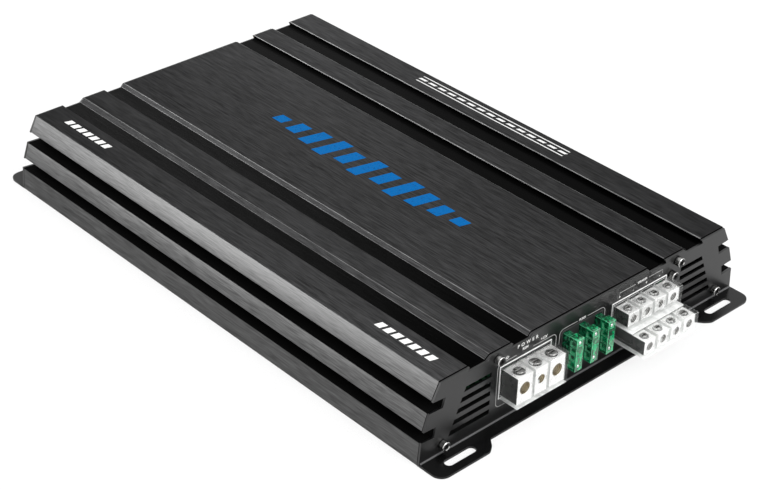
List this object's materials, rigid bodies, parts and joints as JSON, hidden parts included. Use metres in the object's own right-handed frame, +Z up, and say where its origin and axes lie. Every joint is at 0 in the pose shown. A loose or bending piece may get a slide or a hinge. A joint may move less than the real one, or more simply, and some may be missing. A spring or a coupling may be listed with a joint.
{
  "type": "car amplifier",
  "caption": "Flat finned car amplifier with screw-clamp power and speaker terminals, blade fuses, input jacks and slotted mounting feet.",
  "frame": {"origin": "centre of the underside, in the middle of the heatsink's length and width", "axes": "+X out of the terminal end, along the heatsink; +Y across, away from the near long side; +Z up"},
  "size_m": [0.369, 0.23, 0.0435],
  "materials": {
    "heatsink": "brushed and black anodised",
    "steel_sheet": "satin black paint",
    "plated_screws": "bright zinc or nickel plate",
    "clear_plastic": "clear moulded polycarbonate",
    "nickel_plated_brass": "nickel plate",
    "black_plastic": "moulded, matte",
    "green_plastic": "translucent green",
    "fuse_metal": "tinned zinc alloy",
    "circuit_board": "solder mask",
    "light_lens": "clear tinted",
    "ferrite": "painted core",
    "capacitor_sleeve": "shrunk sleeve"
  },
  "bodies": {
    "case": {"heatsink": "heatsink", "bottom_cover": "steel_sheet", "terminal_end_plate": "steel_sheet", "control_end_plate": "steel_sheet", "terminal_plate_screw_1": "plated_screws", "terminal_plate_screw_2": "plated_screws", "terminal_plate_screw_3": "plated_screws", "terminal_plate_screw_4": "plated_screws", "control_plate_screw_1": "plated_screws", "control_plate_screw_2": "plated_screws", "control_plate_screw_3": "plated_screws", "control_plate_screw_4": "plated_screws", "terminal_block_screw": "plated_screws", "power_terminal_housing": "clear_plastic", "power_clamp_block_ground": "nickel_plated_brass", "power_clamp_block_remote": "nickel_plated_brass", "power_clamp_block_battery": "nickel_plated_brass", "speaker_terminal_housing": "clear_plastic", "speaker_clamp_block_lower_1": "nickel_plated_brass", "speaker_clamp_block_lower_2": "nickel_plated_brass", "speaker_clamp_block_lower_3": "nickel_plated_brass", "speaker_clamp_block_lower_4": "nickel_plated_brass", "speaker_clamp_block_upper_1": "nickel_plated_brass", "speaker_clamp_block_upper_2": "nickel_plated_brass", "speaker_clamp_block_upper_3": "nickel_plated_brass", "speaker_clamp_block_upper_4": "nickel_plated_brass", "fuse_holder": "black_plastic", "control_board": "circuit_board", "rca_jacks_front": "black_plastic", "rca_jacks_rear": "black_plastic", "remote_port": "black_plastic", "status_light": "light_lens", "main_board": "circuit_board", "toroid_transformer": "ferrite", "capacitor_bank": "capacitor_sleeve", "transistor_bank_near": "black_plastic", "transistor_bank_far": "black_plastic"},
    "fuse_1": {"fuse_body_1": "green_plastic", "fuse_link_1": "fuse_metal"},
    "fuse_2": {"fuse_body_2": "green_plastic", "fuse_link_2": "fuse_metal"},
    "fuse_3": {"fuse_body_3": "green_plastic", "fuse_link_3": "fuse_metal"},
    "power_screw_ground": {"power_clamp_screw_ground": "plated_screws"},
    "power_screw_remote": {"power_clamp_screw_remote": "plated_screws"},
    "power_screw_battery": {"power_clamp_screw_battery": "plated_screws"},
    "speaker_screw_lower_1": {"speaker_clamp_screw_lower_1": "plated_screws"},
    "speaker_screw_lower_2": {"speaker_clamp_screw_lower_2": "plated_screws"},
    "speaker_screw_lower_3": {"speaker_clamp_screw_lower_3": "plated_screws"},
    "speaker_screw_lower_4": {"speaker_clamp_screw_lower_4": "plated_screws"},
    "speaker_screw_upper_1": {"speaker_clamp_screw_upper_1": "plated_screws"},
    "speaker_screw_upper_2": {"speaker_clamp_screw_upper_2": "plated_screws"},
    "speaker_screw_upper_3": {"speaker_clamp_screw_upper_3": "plated_screws"},
    "speaker_screw_upper_4": {"speaker_clamp_screw_upper_4": "plated_screws"},
    "front_level_knob": {"knob_front_level": "black_plastic"},
    "front_filter_knob": {"knob_front_filter": "black_plastic"},
    "rear_level_knob": {"knob_rear_level": "black_plastic"},
    "rear_filter_knob": {"knob_rear_filter": "black_plastic"},
    "front_range_switch": {"switch_front_range": "black_plastic"},
    "rear_range_switch": {"switch_rear_range": "black_plastic"}
  },
  "joints": [
    {"name": "fuse_1_pull", "type": "slide", "parent": "case", "child": "fuse_1", "axis": [1, 0, 0], "range_m": [0, 0.016]},
    {"name": "fuse_2_pull", "type": "slide", "parent": "case", "child": "fuse_2", "axis": [1, 0, 0], "range_m": [0, 0.016]},
    {"name": "fuse_3_pull", "type": "slide", "parent": "case", "child": "fuse_3", "axis": [1, 0, 0], "range_m": [0, 0.016]},
    {"name": "power_screw_ground_turn", "type": "hinge", "parent": "case", "child": "power_screw_ground", "pos_m": [0.172, -0.0572, 0.0242], "axis": [0, 0, 1], "range_deg": [0, 1080]},
    {"name": "power_screw_remote_turn", "type": "hinge", "parent": "case", "child": "power_screw_remote", "pos_m": [0.172, -0.046, 0.0242], "axis": [0, 0, 1], "range_deg": [0, 1080]},
    {"name": "power_screw_battery_turn", "type": "hinge", "parent": "case", "child": "power_screw_battery", "pos_m": [0.172, -0.0348, 0.0242], "axis": [0, 0, 1], "range_deg": [0, 1080]},
    {"name": "speaker_screw_lower_1_turn", "type": "hinge", "parent": "case", "child": "speaker_screw_lower_1", "pos_m": [0.1833, 0.0214, 0.0176], "axis": [0, 0, 1], "range_deg": [0, 1080]},
    {"name": "speaker_screw_lower_2_turn", "type": "hinge", "parent": "case", "child": "speaker_screw_lower_2", "pos_m": [0.1833, 0.03155, 0.0176], "axis": [0, 0, 1], "range_deg": [0, 1080]},
    {"name": "speaker_screw_lower_3_turn", "type": "hinge", "parent": "case", "child": "speaker_screw_lower_3", "pos_m": [0.1833, 0.0417, 0.0176], "axis": [0, 0, 1], "range_deg": [0, 1080]},
    {"name": "speaker_screw_lower_4_turn", "type": "hinge", "parent": "case", "child": "speaker_screw_lower_4", "pos_m": [0.1833, 0.05185, 0.0176], "axis": [0, 0, 1], "range_deg": [0, 1080]},
    {"name": "speaker_screw_upper_1_turn", "type": "hinge", "parent": "case", "child": "speaker_screw_upper_1", "pos_m": [0.1712, 0.0214, 0.028], "axis": [0, 0, 1], "range_deg": [0, 1080]},
    {"name": "speaker_screw_upper_2_turn", "type": "hinge", "parent": "case", "child": "speaker_screw_upper_2", "pos_m": [0.1712, 0.03155, 0.028], "axis": [0, 0, 1], "range_deg": [0, 1080]},
    {"name": "speaker_screw_upper_3_turn", "type": "hinge", "parent": "case", "child": "speaker_screw_upper_3", "pos_m": [0.1712, 0.0417, 0.028], "axis": [0, 0, 1], "range_deg": [0, 1080]},
    {"name": "speaker_screw_upper_4_turn", "type": "hinge", "parent": "case", "child": "speaker_screw_upper_4", "pos_m": [0.1712, 0.05185, 0.028], "axis": [0, 0, 1], "range_deg": [0, 1080]},
    {"name": "front_level_turn", "type": "hinge", "parent": "case", "child": "front_level_knob", "pos_m": [-0.166, -0.004, 0.0305], "axis": [-1, 0, 0], "range_deg": [-140, 140]},
    {"name": "front_filter_turn", "type": "hinge", "parent": "case", "child": "front_filter_knob", "pos_m": [-0.166, -0.02, 0.0305], "axis": [-1, 0, 0], "range_deg": [-140, 140]},
    {"name": "rear_level_turn", "type": "hinge", "parent": "case", "child": "rear_level_knob", "pos_m": [-0.166, -0.004, 0.017], "axis": [-1, 0, 0], "range_deg": [-140, 140]},
    {"name": "rear_filter_turn", "type": "hinge", "parent": "case", "child": "rear_filter_knob", "pos_m": [-0.166, -0.02, 0.017], "axis": [-1, 0, 0], "range_deg": [-140, 140]},
    {"name": "front_range_slide", "type": "slide", "parent": "case", "child": "front_range_switch", "axis": [0, 1, 0], "range_m": [-0.0024, 0.0024]},
    {"name": "rear_range_slide", "type": "slide", "parent": "case", "child": "rear_range_switch", "axis": [0, 1, 0], "range_m": [-0.0024, 0.0024]}
  ]
}
